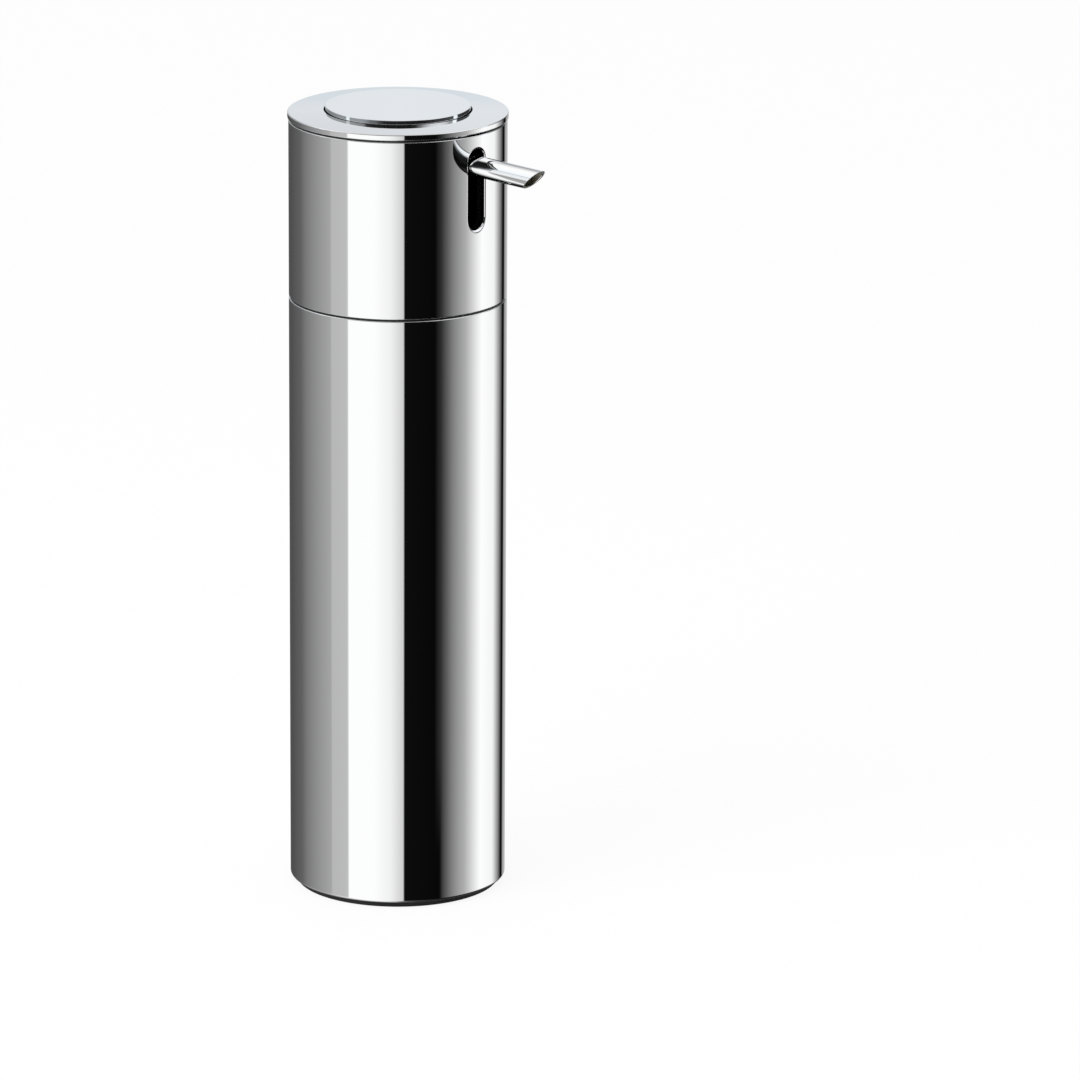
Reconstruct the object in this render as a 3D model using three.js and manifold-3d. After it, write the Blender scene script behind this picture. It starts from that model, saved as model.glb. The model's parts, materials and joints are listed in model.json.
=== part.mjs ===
// A free-standing soap dispenser: a slim chromed cylinder whose round button is pressed down into the
// head. The button carries the spout, which travels in an upright slot of the head. The head holds
// the whole pump and lifts off an inner liner, so that the liner can be filled.
// Millimetres, +Z up. The origin is the middle of the foot's underside and the spout points to -Y.

import * as THREE from "three";
import { mergeVertices } from "three/addons/utils/BufferGeometryUtils.js";
import Module from "manifold-3d";

const wasm = await Module();
wasm.setup();

// Driving dimensions of the whole
const bodyRadius = 26; // outside of the chromed tubes
const topHeight = 190.1; // outer edge of the top ring's upper face
const pumpStroke = 12.5; // how far the button goes down
const fitGap = 0.3; // between pieces that are pressed, bonded or screwed together
const slideGap = 0.35; // between the button and the bore that guides it
const cutOverrun = 5; // how far a cutting solid runs past what it cuts

// Foot and base plate
const footInset = 0.4; // from the body tube's bore to the foot's edge
const footThickness = 1.5;
const footEdge = 0.4;
const basePlateThickness = 2.5;
const basePlateRing = 1; // height of the raised ring under the liner
const basePlateRingInset = 5.5; // from the plate's edge to the raised ring
const basePlateRingWidth = 2;

// Body tube and liner
const bodyWall = 1.2;
const bodyBottomEdge = 0.6;
const tubeEdge = 0.2; // rounding of the tubes' ends at the seams
const linerWall = 1;
const linerFloor = 1.2;
const linerCorner = 4;
const linerStandoff = 0.4; // air between the liner and the base plate's ring
const linerRimThickness = 0.45;
const linerRimRecess = 0.35; // how far the rim stays behind the chrome
const linerMouthChamfer = 0.4;

// Head tube and its slot
const headWall = 1.4;
const slotWidth = 5.6;
const slotBelowSpout = 2.8; // from the pressed spout's axis to the slot's lower end
const slotAboveSpout = 4.1; // from the resting spout's axis to the slot's upper end

// Top ring
const ringRise = 0.4; // how much higher its upper face is at the button than at its outer edge
const ringOverhang = 0.24; // how far the ring stands proud of the tubes
const ringWidth = 8.59; // of the ring's upper face
const ringFlange = 1.45;
const ringPlugDepth = 2.95; // how far the ring reaches into the head
const ringEdge = 0.25;

// Button
const buttonProud = 1; // over the top ring, at rest
const buttonTopThickness = 1.6;
const buttonWall = 1.2;
const buttonSkirt = 7;
const buttonEdge = 0.3;

// Guide sleeve, which lines the head tube and guides the button
const sleeveWall = 1.5;
const guideWall = 1.3;
const guideOverlap = 2; // how far the guide tube reaches below the pressed button
const sleeveWeb = 1.5;
const sleeveRimThickness = 0.45; // of the rim between the head tube and the top ring
const sleeveRimRecess = 0.35; // how far the rim stays behind the chrome
const sleeveSlotMargin = 0.8; // how much wider than the chrome's slot the sleeve's is, on each side
const sleeveRib = 1.2;
const sleeveRibShares = [1 / 12, 3 / 12, 5 / 12, 7 / 12, 11 / 12]; // of a full turn, from +X

// Pump deck, which plugs into the liner and carries the pump
const deckShoulderGap = 0.5; // between the deck's shoulder and the liner's rim
const deckShoulder = 2;
const deckUpstand = 3;
const skirtDepth = 12.5; // how far the deck plugs into the liner
const skirtWall = 2.6;
const skirtLeadIn = 0.8;
const deckFloorHeight = 3.5; // from the skirt's lower end to the floor's underside
const deckFloor = 2.5;
const collarHeight = 6;
const collarWall = 1.4;
const ventRadius = 1; // of the hole that lets air into the liner

// O-ring between the deck and the liner
const skirtRingSection = 1.6; // diameter of the rubber
const skirtRingGap = 0.15; // between the rubber and the liner's wall
const skirtRingHeight = 6.5; // above the skirt's lower end
const grooveSlack = 0.3; // how much wider than the rubber its groove is

// Pump housing
const housingRadius = 9.8;
const housingWall = 1.2;
const housingCorner = 1;
const flangeRadius = 12.4;
const flangeThickness = 1.8;
const chamberDepth = 37; // from the flange's underside to the chamber's floor
const chamberFloor = 1.6;
const valveBossRadius = 5.6;
const valvePocketDepth = 2.5;
const valveSeatLength = 2;
const valveSeatRadius = 1.4;
const nippleLength = 6;
const nippleWall = 1.1;

// Gasket, clamp nut and stem guide
const gasketThickness = 1;
const nutWall = 1.6;
const nutRoofThickness = 2;
const nutOpening = 8;
const nutClearance = 0.5; // above the collar and over the deck's floor
const nutFlutes = 12;
const fluteRadius = 0.9;
const fluteDepth = 0.6;
const guidePlug = 5;
const guideFlange = 1.7;
const guideEdge = 0.4;

// Stem and piston seal
const stemRadius = 4;
const stemBore = 1.4;
const stemFlangeRadius = 6.9;
const stemFlange = 1.5;
const sealHeight = 7.2;
const sealLip = 1.1;
const sealLipDepth = 2.4;
const sealWaist = 0.5; // how far the seal's waist stays behind its lips

// Spring
const springWire = 1;
const springRadius = 6.1; // to the middle of the wire
const springActiveTurns = 4;
const springEndTurns = 1; // closed turns at each end
const springEndGap = 0.5; // between a closed turn and the next
const springSeatGap = 0.1;

// Ball valves and the cage over the lower one
const inletBallRadius = 2;
const outletBallRadius = 1.8;
const ballLift = 1.2;
const ballRunningGap = 0.3;
const ballSeatGap = 0.1; // under a ball at rest, and over a lifted one
const cageDisc = 1.2;
const cageWall = 1.2;
const cageTop = 1;
const cageHole = 1.2;
const cageWindow = 2.6;

// Dip tube
const dipTubeRadius = 2.5;
const dipTubeWall = 0.8;
const dipTubeClearance = 2.5; // above the liner's floor
const dipTubeSlantShare = 1; // rise of the slanted cut, as a share of the tube's diameter

// Spout
const spoutRadius = 2.5;
const spoutWall = 0.5;
const spoutDrop = 9.3; // from the top ring's face to the spout's axis, where it leaves the head
const spoutTilt = THREE.MathUtils.degToRad(0.8);
const spoutReachTop = 20.8; // from the head to the tip's upper corner
const spoutReachBottom = 15.8; // from the head to the tip's lower corner
const spoutSocketLength = 6; // how far the spout is plugged into the boss

// Actuator, which joins the button, the spout and the stem
const actuatorDisc = 2.4;
const actuatorRib = 1.2;
const actuatorRibDepth = 2.4;
const columnRadius = 6.4;
const columnClearance = 0.5; // between the pressed column and the nut
const columnEdge = 0.6;
const socketDepth = 11;
const valveChamberHeight = 4.4;
const passageLength = 4.85; // from the valve's chamber up to the height where the spout leaves the head
const passageRadius = 1.3;
const bossRadius = 4.4;
const bossSetback = 1.1; // from the inside of the button's skirt to the boss's end
const bossRingSection = 0.9; // diameter of the rubber ring round the spout
const bossRingGap = 0.2; // between the ring, the spout and the pocket's wall
const bossRingDepth = 1.4; // of the pocket that holds the ring

// How finely round shapes are cut into facets
const chromeSides = 54;
const wideSides = 37;
const middleSides = 24;
const slimSides = 20;
const ballSides = 12;
const ballRings = 8;
const ringSectionSides = 6;
const fluteSides = 10;
const slotArcSteps = 8;
const filletSteps = 2;
const springStepsPerTurn = 8;
const springSides = 5;

// Places that follow from the sizes above
const bodyInner = bodyRadius - bodyWall;
const footRadius = bodyInner - footInset;
const linerOuter = bodyInner - fitGap;
const basePlateRingRadius = linerOuter - basePlateRingInset;
const linerInner = linerOuter - linerWall;
const linerBase = footThickness + basePlateThickness + basePlateRing + linerStandoff;
const ringUnderside = topHeight - ringFlange;
const headTubeTop = ringUnderside - sleeveRimThickness;
const headInner = bodyRadius - headWall;
const headFit = headInner - fitGap;
const webTop = ringUnderside - ringPlugDepth;
const sleeveInner = headFit - sleeveWall;
const ringRadius = bodyRadius + ringOverhang;
const buttonBore = ringRadius - ringWidth;
const buttonRadius = buttonBore - slideGap;
const buttonInner = buttonRadius - buttonWall;
const buttonTop = topHeight + ringRise + buttonProud;
const skirtOuter = linerInner - fitGap;
const skirtInner = skirtOuter - skirtWall;
const spoutHeight = topHeight - spoutDrop;
const slotBottom = spoutHeight - pumpStroke - slotBelowSpout;
const slotTop = spoutHeight + slotAboveSpout;
const bossReach = buttonInner - bossSetback;
const spoutInnerEnd = bossReach - spoutSocketLength;
const discTop = buttonTop - buttonTopThickness;
const discUnderside = discTop - actuatorDisc;
const valveTop = spoutHeight - passageLength;
const stemTop = valveTop - valveChamberHeight;
const columnBottom = stemTop - socketDepth;
const nutTop = columnBottom - columnClearance - pumpStroke;
const nutRoof = nutTop - nutRoofThickness;
const collarTop = nutRoof - nutClearance;
const floorTop = collarTop - collarHeight;
const skirtBottom = floorTop - deckFloor - deckFloorHeight;
const rimTop = skirtBottom + skirtDepth;
const seamHeight = rimTop - linerRimThickness;
const shoulderTop = rimTop + deckShoulderGap + deckShoulder;
const flangeUnderside = floorTop + gasketThickness;
const flangeTop = flangeUnderside + flangeThickness;
const chamberBottom = flangeUnderside - chamberDepth;
const chamberRadius = housingRadius - housingWall;
const chamberFit = chamberRadius - fitGap;
const deckHole = housingRadius + fitGap;
const collarInner = flangeRadius + fitGap;
const collarOuter = collarInner + collarWall;
const nutInner = collarOuter + fitGap;
const nutOuter = nutInner + nutWall;
const ventPlace = (nutOuter + skirtInner) / 2; // from the axis to the vent
const guideBottom = flangeTop - guidePlug;
const guideTop = flangeTop + guideFlange;
const sealTop = guideBottom - fitGap;
const sealBottom = sealTop - sealHeight;
const stemBottom = sealBottom - stemFlange;
const ballPocketRadius = inletBallRadius + ballRunningGap;
const seatHeight = chamberBottom - valvePocketDepth;
const inletBallHeight = seatedHeight(seatHeight, inletBallRadius, valveSeatRadius);
const cageInside = inletBallHeight + inletBallRadius + ballLift + ballSeatGap;
const nippleTop = seatHeight - valveSeatLength;
const nippleBottom = nippleTop - nippleLength;
const nippleBore = dipTubeRadius + fitGap;
const dipTubeBottom = linerBase + linerFloor + dipTubeClearance;
const outletBallHeight = seatedHeight(stemTop, outletBallRadius, stemBore);

const chrome = new THREE.MeshStandardMaterial({ color: 0xe6e8ea, roughness: 0.04, metalness: 1 });
const blackPlastic = new THREE.MeshStandardMaterial({ color: 0x101112, roughness: 0.5 });
const blackRubber = new THREE.MeshStandardMaterial({ color: 0x1a1a1b, roughness: 0.85 });
const naturalPlastic = new THREE.MeshStandardMaterial({ color: 0xe4e6e4, roughness: 0.4 });
const steel = new THREE.MeshStandardMaterial({ color: 0xb8babd, roughness: 0.25, metalness: 1 });

// The height of a ball's centre when the ball lies on the edge of a round hole
function seatedHeight(seat, ballRadius, holeRadius) {
  return seat + Math.sqrt(ballRadius ** 2 - holeRadius ** 2) + ballSeatGap;
}

// The points of an outline whose corners are [radius, height] or [radius, height, fillet]
function outline(corners) {
  const points = [];
  corners.forEach(([radius, height, fillet = 0], i) => {
    const corner = new THREE.Vector2(radius, height);
    if (fillet === 0) {
      points.push(corner);
      return;
    }
    const [before, after] = [i - 1, i + 1].map((k) => {
      const [r, z] = corners[(k + corners.length) % corners.length];
      return new THREE.Vector2(r, z).sub(corner).normalize();
    });
    const halfAngle = Math.acos(before.dot(after)) / 2;
    const start = before.clone().multiplyScalar(fillet / Math.tan(halfAngle));
    const centre = before.clone().add(after).setLength(fillet / Math.sin(halfAngle));
    const turn = Math.sign(before.cross(after)) * (Math.PI - 2 * halfAngle);
    for (let step = 0; step <= filletSteps; step++) {
      const arm = start.clone().rotateAround(centre, (-turn * step) / filletSteps);
      points.push(arm.add(corner));
    }
  });
  return points;
}

// A turned shape about the Z axis. Its corners run anticlockwise, seen with the axis at the left
function turned(corners, sides) {
  const points = outline(corners);
  const onAxis = corners[0][0] === 0;
  if (!onAxis) points.push(points[0].clone());
  return new THREE.LatheGeometry(points, sides).rotateX(Math.PI / 2);
}

// A round bar or hole along Z from one height to another
function rod(radius, from, to, sides = slimSides) {
  const corners = [[0, from], [radius, from], [radius, to], [0, to]];
  return turned(corners, sides);
}

// A rubber ring of round section, lying flat
function rubberRing(centreRadius, section, sides) {
  return new THREE.TorusGeometry(centreRadius, section / 2, ringSectionSides, sides);
}

// A slot that is round at both ends, cut towards -Y from depth near to depth far
function slot(width, bottom, top, near, far) {
  const radius = width / 2;
  const shape = new THREE.Shape();
  shape.absarc(0, bottom + radius, radius, Math.PI, 2 * Math.PI);
  shape.absarc(0, top - radius, radius, 0, Math.PI);
  const options = { depth: far - near, bevelEnabled: false, curveSegments: slotArcSteps };
  return new THREE.ExtrudeGeometry(shape, options).rotateX(Math.PI / 2).translate(0, -near, 0);
}

// A prism whose outline lies in the YZ plane, as far to each side of it as half its width
function prismAcross(points, width) {
  const shape = new THREE.Shape(points.map(([y, z]) => new THREE.Vector2(y, z)));
  return new THREE.ExtrudeGeometry(shape, { depth: width, bevelEnabled: false })
    .translate(0, 0, -width / 2)
    .rotateX(Math.PI / 2)
    .rotateZ(Math.PI / 2);
}

// A closed geometry as a solid that can be cut and joined
function solidOf(geometry) {
  const bare = geometry.clone();
  bare.deleteAttribute("normal");
  bare.deleteAttribute("uv");
  const merged = mergeVertices(bare);
  const index = merged.index.array;
  const kept = [];
  for (let i = 0; i < index.length; i += 3) {
    const [a, b, c] = index.slice(i, i + 3);
    if (a !== b && b !== c && c !== a) kept.push(a, b, c);
  }
  return new wasm.Manifold(
    new wasm.Mesh({
      numProp: 3,
      vertProperties: new Float32Array(merged.attributes.position.array),
      triVerts: new Uint32Array(kept),
    }),
  );
}

function geometryOf(solid) {
  const mesh = solid.getMesh();
  return new THREE.BufferGeometry()
    .setAttribute("position", new THREE.BufferAttribute(mesh.vertProperties, 3))
    .setIndex(new THREE.BufferAttribute(mesh.triVerts, 1));
}

function joined(first, ...others) {
  return others.reduce((solid, other) => solid.add(solidOf(other)), solidOf(first));
}

function cut(solid, ...cutters) {
  return cutters.reduce((rest, cutter) => rest.subtract(solidOf(cutter)), solid);
}

function piece(name, geometry, material, height = 0) {
  const mesh = new THREE.Mesh(geometry, material);
  mesh.name = name;
  mesh.position.z = height;
  return mesh;
}

// Takes a geometry that lies along the Y axis to the spout's place and tilt
function alongSpout(geometry) {
  return geometry.rotateX(spoutTilt).translate(0, -bodyRadius, spoutHeight);
}

// A round bar along the spout's axis, between two distances from the dispenser's axis
function spoutBar(radius, from, to, sides = slimSides) {
  return rod(radius, from, to, sides).rotateX(Math.PI / 2).translate(0, bodyRadius, 0);
}

function footPad() {
  const corners = [[0, 0], [footRadius, 0, footEdge], [footRadius, footThickness], [0, footThickness]];
  return piece("foot_pad", turned(corners, wideSides), blackRubber);
}

function basePlate() {
  const top = basePlateThickness + basePlateRing;
  const ringInner = basePlateRingRadius - basePlateRingWidth;
  const corners = [
    [0, 0],
    [linerOuter, 0],
    [linerOuter, basePlateThickness],
    [basePlateRingRadius, basePlateThickness],
    [basePlateRingRadius, top],
    [ringInner, top],
    [ringInner, basePlateThickness],
    [0, basePlateThickness],
  ];
  return piece("base_plate", turned(corners, wideSides), blackPlastic, footThickness);
}

function bodyTube() {
  const corners = [
    [bodyInner, footThickness],
    [bodyRadius, footThickness, bodyBottomEdge],
    [bodyRadius, seamHeight, tubeEdge],
    [bodyInner, seamHeight, tubeEdge],
  ];
  return piece("body_tube", turned(corners, chromeSides), chrome);
}

function liner() {
  const rimRadius = bodyRadius - linerRimRecess;
  const floor = linerBase + linerFloor;
  const corners = [
    [0, linerBase],
    [linerOuter, linerBase, linerCorner],
    [linerOuter, seamHeight],
    [rimRadius, seamHeight],
    [rimRadius, rimTop],
    [linerInner + linerMouthChamfer, rimTop],
    [linerInner, rimTop - linerMouthChamfer],
    [linerInner, floor, linerCorner - linerWall],
    [0, floor],
  ];
  return piece("liner", turned(corners, wideSides), blackPlastic);
}

function skirtRing() {
  const centreRadius = linerInner - skirtRingGap - skirtRingSection / 2;
  const geometry = rubberRing(centreRadius, skirtRingSection, wideSides);
  return piece("skirt_ring", geometry, blackRubber, skirtBottom + skirtRingHeight);
}

function pumpDeck() {
  const floorUnderside = floorTop - deckFloor;
  const grooveFloor = linerInner - 2 * skirtRingGap - skirtRingSection;
  const grooveHalf = (skirtRingSection + grooveSlack) / 2;
  const grooveMiddle = skirtBottom + skirtRingHeight;
  const shoulder = rimTop + deckShoulderGap;
  const upstandOuter = sleeveInner - fitGap;
  const upstandTop = shoulderTop + deckUpstand;
  const corners = [
    [deckHole, floorUnderside],
    [skirtInner, floorUnderside],
    [skirtInner, skirtBottom],
    [skirtOuter - skirtLeadIn, skirtBottom],
    [skirtOuter, skirtBottom + skirtLeadIn],
    [skirtOuter, grooveMiddle - grooveHalf],
    [grooveFloor, grooveMiddle - grooveHalf],
    [grooveFloor, grooveMiddle + grooveHalf],
    [skirtOuter, grooveMiddle + grooveHalf],
    [skirtOuter, shoulder],
    [headFit, shoulder],
    [headFit, shoulderTop],
    [upstandOuter, shoulderTop],
    [upstandOuter, upstandTop],
    [skirtInner, upstandTop],
    [skirtInner, floorTop],
    [collarOuter, floorTop],
    [collarOuter, collarTop],
    [collarInner, collarTop],
    [collarInner, floorTop],
    [deckHole, floorTop],
  ];
  const vent = rod(ventRadius, floorUnderside - cutOverrun, floorTop + cutOverrun, fluteSides);
  const solid = cut(solidOf(turned(corners, wideSides)), vent.translate(0, ventPlace, 0));
  return piece("pump_deck", geometryOf(solid), blackPlastic);
}

function headTube() {
  const corners = [
    [headInner, rimTop, tubeEdge],
    [bodyRadius, rimTop, tubeEdge],
    [bodyRadius, headTubeTop, tubeEdge],
    [headInner, headTubeTop, tubeEdge],
  ];
  const window = slot(slotWidth, slotBottom, slotTop, headInner - cutOverrun, bodyRadius + cutOverrun);
  const solid = cut(solidOf(turned(corners, chromeSides)), window);
  return piece("head_tube", geometryOf(solid), chrome);
}

function guideSleeve() {
  const guideOuter = buttonBore + guideWall;
  const guideEnd = buttonTop - buttonSkirt - pumpStroke - guideOverlap;
  const webUnderside = webTop - sleeveWeb;
  const rimRadius = bodyRadius - sleeveRimRecess;
  const corners = [
    [sleeveInner, shoulderTop],
    [headFit, shoulderTop],
    [headFit, headTubeTop],
    [rimRadius, headTubeTop],
    [rimRadius, ringUnderside],
    [sleeveInner, ringUnderside],
    [sleeveInner, webTop],
    [buttonBore, webTop],
    [buttonBore, guideEnd],
    [guideOuter, guideEnd],
    [guideOuter, webUnderside],
    [sleeveInner, webUnderside],
  ];
  const ribLength = sleeveInner - guideOuter + guideWall / 2 + sleeveWall / 2;
  const ribHeight = webTop - guideEnd - sleeveWeb / 2;
  const ribs = sleeveRibShares.map((share) =>
    new THREE.BoxGeometry(ribLength, sleeveRib, ribHeight)
      .translate(guideOuter - guideWall / 2 + ribLength / 2, 0, guideEnd + ribHeight / 2)
      .rotateZ(share * 2 * Math.PI),
  );
  const width = slotWidth + 2 * sleeveSlotMargin;
  const bottom = slotBottom - sleeveSlotMargin;
  const window = slot(width, bottom, ringUnderside + width, buttonBore - cutOverrun, headFit + cutOverrun);
  const solid = cut(joined(turned(corners, wideSides), ...ribs), window);
  return piece("guide_sleeve", geometryOf(solid), blackPlastic);
}

function topRing() {
  const plugRadius = sleeveInner - fitGap;
  const corners = [
    [buttonBore, webTop],
    [plugRadius, webTop],
    [plugRadius, ringUnderside],
    [ringRadius, ringUnderside, ringEdge],
    [ringRadius, topHeight, ringEdge],
    [buttonBore, topHeight + ringRise, ringEdge],
  ];
  return piece("top_ring", turned(corners, chromeSides), chrome);
}

function gasket() {
  const corners = [
    [deckHole, floorTop],
    [flangeRadius, floorTop],
    [flangeRadius, flangeUnderside],
    [deckHole, flangeUnderside],
  ];
  return piece("flange_gasket", turned(corners, middleSides), blackRubber);
}

function pumpHousing() {
  const nippleRadius = nippleBore + nippleWall;
  const housingBottom = chamberBottom - chamberFloor;
  const corners = [
    [nippleBore, nippleBottom],
    [nippleRadius, nippleBottom],
    [nippleRadius, nippleTop],
    [valveBossRadius, nippleTop],
    [valveBossRadius, housingBottom],
    [housingRadius, housingBottom, housingCorner],
    [housingRadius, flangeUnderside],
    [flangeRadius, flangeUnderside],
    [flangeRadius, flangeTop],
    [chamberRadius, flangeTop],
    [chamberRadius, chamberBottom],
    [ballPocketRadius, chamberBottom],
    [ballPocketRadius, seatHeight],
    [valveSeatRadius, seatHeight],
    [valveSeatRadius, nippleTop],
    [nippleBore, nippleTop],
  ];
  return piece("pump_housing", turned(corners, middleSides), naturalPlastic);
}

// The nut screws onto the deck's collar and presses the stem guide, the housing and the gasket down
function clampNut() {
  const bottom = floorTop + nutClearance;
  const corners = [
    [nutInner, bottom],
    [nutOuter, bottom],
    [nutOuter, nutTop],
    [nutOpening, nutTop],
    [nutOpening, guideTop],
    [flangeRadius, guideTop],
    [flangeRadius, nutRoof],
    [nutInner, nutRoof],
  ];
  const flutes = Array.from({ length: nutFlutes }, (_, i) =>
    rod(fluteRadius, bottom - cutOverrun, nutTop + cutOverrun, fluteSides)
      .translate(nutOuter + fluteRadius - fluteDepth, 0, 0)
      .rotateZ((i * 2 * Math.PI) / nutFlutes),
  );
  const solid = cut(solidOf(turned(corners, wideSides)), ...flutes);
  return piece("clamp_nut", geometryOf(solid), blackPlastic);
}

function stemGuide() {
  const bore = stemRadius + fitGap;
  const corners = [
    [bore, guideBottom],
    [chamberFit - guideEdge, guideBottom],
    [chamberFit, guideBottom + guideEdge],
    [chamberFit, flangeTop],
    [flangeRadius, flangeTop],
    [flangeRadius, guideTop],
    [bore, guideTop],
  ];
  return piece("stem_guide", turned(corners, middleSides), naturalPlastic);
}

// The cage keeps the lower ball over its seat and carries the spring
function ballCage() {
  const cageRadius = ballPocketRadius + cageWall;
  const discTopHeight = chamberBottom + cageDisc;
  const corners = [
    [ballPocketRadius, chamberBottom],
    [chamberFit, chamberBottom],
    [chamberFit, discTopHeight],
    [cageRadius, discTopHeight],
    [cageRadius, cageInside + cageTop],
    [cageHole, cageInside + cageTop],
    [cageHole, cageInside],
    [ballPocketRadius, cageInside],
  ];
  const windowHeight = cageInside - discTopHeight;
  const window = new THREE.BoxGeometry(2 * (cageRadius + cutOverrun), cageWindow, windowHeight)
    .translate(0, 0, discTopHeight + windowHeight / 2);
  const crossing = window.clone().rotateZ(Math.PI / 2);
  const solid = cut(solidOf(turned(corners, slimSides)), window, crossing);
  return piece("ball_cage", geometryOf(solid), naturalPlastic);
}

function dipTube() {
  const bore = dipTubeRadius - dipTubeWall;
  const corners = [
    [bore, dipTubeBottom],
    [dipTubeRadius, dipTubeBottom],
    [dipTubeRadius, nippleTop],
    [bore, nippleTop],
  ];
  const rise = dipTubeSlantShare * 2 * dipTubeRadius;
  const slope = rise / (2 * dipTubeRadius);
  const slant = prismAcross(
    [
      [-dipTubeRadius - cutOverrun, dipTubeBottom - slope * cutOverrun],
      [dipTubeRadius + cutOverrun, dipTubeBottom - slope * cutOverrun],
      [dipTubeRadius + cutOverrun, dipTubeBottom + rise + slope * cutOverrun],
    ],
    2 * (dipTubeRadius + cutOverrun),
  );
  const solid = cut(solidOf(turned(corners, slimSides)), slant);
  return piece("dip_tube", geometryOf(solid), naturalPlastic);
}

// The middle line of a spring whose end turns lie close to their neighbours
class SpringLine extends THREE.Curve {
  constructor(bottom, top) {
    super();
    this.bottom = bottom;
    this.closedRise = springEndTurns * (springWire + springEndGap);
    this.openRise = top - bottom - 2 * this.closedRise;
  }

  getPoint(t, target = new THREE.Vector3()) {
    const turn = t * (springActiveTurns + 2 * springEndTurns);
    const first = Math.min(turn, springEndTurns) / springEndTurns;
    const open = THREE.MathUtils.clamp((turn - springEndTurns) / springActiveTurns, 0, 1);
    const last = Math.max(turn - springEndTurns - springActiveTurns, 0) / springEndTurns;
    const height = this.bottom + (first + last) * this.closedRise + open * this.openRise;
    const angle = turn * 2 * Math.PI;
    return target.set(springRadius * Math.cos(angle), springRadius * Math.sin(angle), height);
  }
}

function pumpSpring() {
  const seat = springWire / 2 + springSeatGap;
  const line = new SpringLine(chamberBottom + cageDisc + seat, stemBottom - seat);
  const section = new THREE.Shape(
    Array.from({ length: springSides }, (_, i) =>
      new THREE.Vector2(springWire / 2, 0).rotateAround(new THREE.Vector2(), (i * 2 * Math.PI) / springSides),
    ),
  );
  const turns = springActiveTurns + 2 * springEndTurns;
  const options = { steps: turns * springStepsPerTurn, bevelEnabled: false, extrudePath: line };
  return piece("pump_spring", new THREE.ExtrudeGeometry(section, options), steel);
}

function ball(name, radius, height) {
  return piece(name, new THREE.SphereGeometry(radius, ballSides, ballRings), steel, height);
}

function stem() {
  const corners = [
    [stemBore, stemBottom],
    [stemFlangeRadius, stemBottom],
    [stemFlangeRadius, sealBottom],
    [stemRadius, sealBottom],
    [stemRadius, stemTop],
    [stemBore, stemTop],
  ];
  return piece("stem", turned(corners, slimSides), naturalPlastic);
}

// The seal has a lip at each end, so that it wipes the chamber both ways
function pistonSeal() {
  const inner = stemRadius + fitGap;
  const waist = chamberFit - sealWaist;
  const lipRoot = chamberFit - sealLip;
  const corners = [
    [inner, sealBottom],
    [lipRoot - sealLip, sealBottom],
    [lipRoot, sealBottom + sealLipDepth],
    [chamberFit - sealLip / 2, sealBottom],
    [chamberFit, sealBottom],
    [waist, sealBottom + sealLipDepth],
    [waist, sealTop - sealLipDepth],
    [chamberFit, sealTop],
    [chamberFit - sealLip / 2, sealTop],
    [lipRoot, sealTop - sealLipDepth],
    [lipRoot - sealLip, sealTop],
    [inner, sealTop],
  ];
  return piece("piston_seal", turned(corners, middleSides), blackRubber);
}

function actuator() {
  const spoutSocket = spoutRadius + fitGap;
  const ringPocket = spoutRadius + bossRingSection + 2 * bossRingGap;
  const stemSocket = stemRadius + fitGap;
  const valveChamber = outletBallRadius + ballRunningGap;
  const axisHeight = spoutHeight + bodyRadius * Math.tan(spoutTilt);
  const column = [
    [0, columnBottom],
    [columnRadius, columnBottom, columnEdge],
    [columnRadius, discUnderside],
    [buttonInner - fitGap, discUnderside],
    [buttonInner - fitGap, discTop],
    [0, discTop],
  ];
  const ribLength = 2 * (buttonInner - fitGap - actuatorRib);
  const rib = new THREE.BoxGeometry(ribLength, actuatorRib, actuatorRibDepth + actuatorDisc / 2)
    .translate(0, 0, discUnderside - (actuatorRibDepth - actuatorDisc / 2) / 2);
  const body = joined(
    turned(column, middleSides),
    alongSpout(spoutBar(bossRadius, 0, bossReach, middleSides)),
    rib,
    rib.clone().rotateZ(Math.PI / 2),
  );
  const solid = cut(
    body,
    rod(stemSocket, columnBottom - cutOverrun, stemTop),
    rod(valveChamber, stemTop - cutOverrun, valveTop),
    rod(passageRadius, valveTop - cutOverrun / 2, axisHeight),
    alongSpout(spoutBar(spoutRadius - spoutWall, 0, bossReach)),
    alongSpout(spoutBar(spoutSocket, spoutInnerEnd - fitGap, bossReach + cutOverrun)),
    alongSpout(spoutBar(ringPocket, bossReach - bossRingDepth, bossReach + cutOverrun)),
  );
  return piece("actuator", geometryOf(solid), blackPlastic);
}

function button() {
  const corners = [
    [0, discTop],
    [buttonInner, discTop],
    [buttonInner, buttonTop - buttonSkirt],
    [buttonRadius, buttonTop - buttonSkirt],
    [buttonRadius, buttonTop, buttonEdge],
    [0, buttonTop],
  ];
  return piece("push_button", turned(corners, chromeSides), chrome);
}

// The spout's end is cut obliquely, so that the mouth faces out and down
function spout() {
  const tip = bodyRadius + spoutReachTop;
  const slope = (spoutReachTop - spoutReachBottom) / (2 * spoutRadius);
  const past = spoutRadius + cutOverrun;
  const mouthMiddle = (spoutReachTop + spoutReachBottom) / 2;
  const mouth = prismAcross(
    [
      [-mouthMiddle - slope * past, past],
      [-mouthMiddle + slope * past, -past],
      [-mouthMiddle - slope * past - cutOverrun, -past],
      [-mouthMiddle - slope * past - cutOverrun, past],
    ],
    2 * past,
  );
  const tube = solidOf(spoutBar(spoutRadius, spoutInnerEnd, tip, middleSides));
  const bore = spoutBar(spoutRadius - spoutWall, spoutInnerEnd - cutOverrun, tip + cutOverrun);
  const geometry = alongSpout(geometryOf(cut(tube, bore, mouth)));
  return piece("spout", geometry, chrome);
}

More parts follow.
